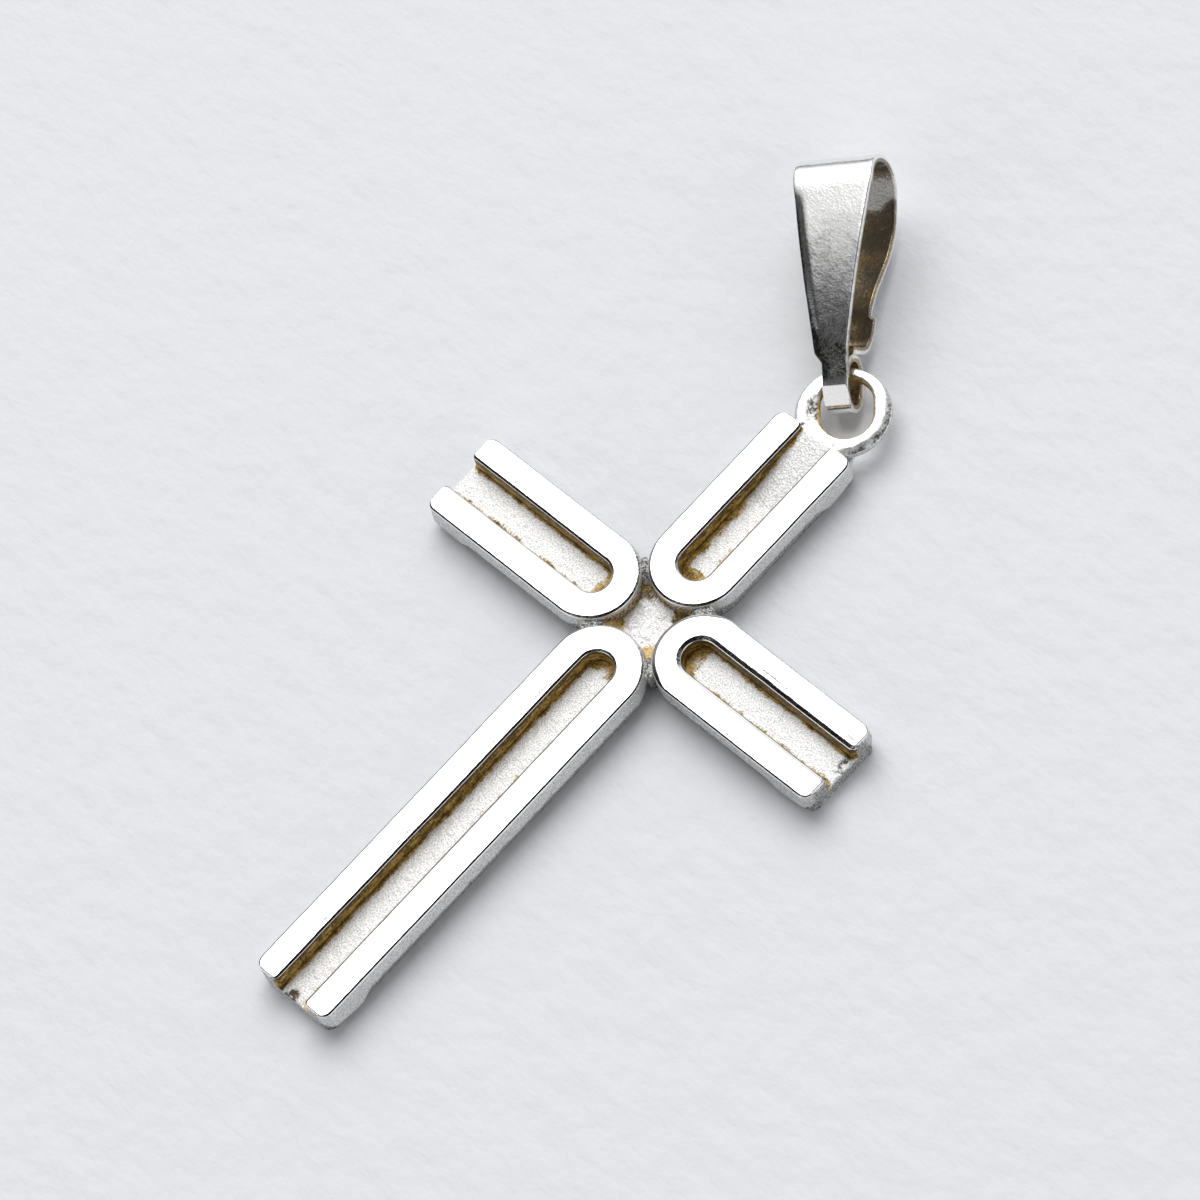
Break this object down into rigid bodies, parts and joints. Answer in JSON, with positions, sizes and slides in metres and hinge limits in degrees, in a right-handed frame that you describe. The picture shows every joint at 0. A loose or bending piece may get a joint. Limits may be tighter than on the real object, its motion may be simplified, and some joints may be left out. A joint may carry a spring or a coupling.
{
  "type": "cross pendant",
  "caption": "Small cast silver cross with channelled arms and an eye at its top, hung on a folded tapering strip bail that swings on the eye.",
  "frame": {"origin": "middle of the crossing, on the flat back face that the pendant lies on", "axes": "+Y along the arms towards the eye, +X along the right arm, +Z out of the front"},
  "size_m": [0.02, 0.0392, 0.0043],
  "materials": {
    "cast_silver": "cast silver, satin polished band tops and walls, matt grainy channel floors, brown tarnish along the foot of the channel walls",
    "strip_silver": "rolled silver strip, bright with fine wear, bright cut edges, brown tarnish inside the fold"
  },
  "bodies": {
    "cross": {"cross": "cast_silver"},
    "bail": {"bail": "strip_silver"}
  },
  "joints": [
    {"name": "bail_swing", "type": "hinge", "parent": "cross", "child": "bail", "pos_m": [-0.00099, 0.01207, 0.00108], "axis": [0.7861, 0.5848, 0.1999], "range_deg": [-110, 75]}
  ]
}
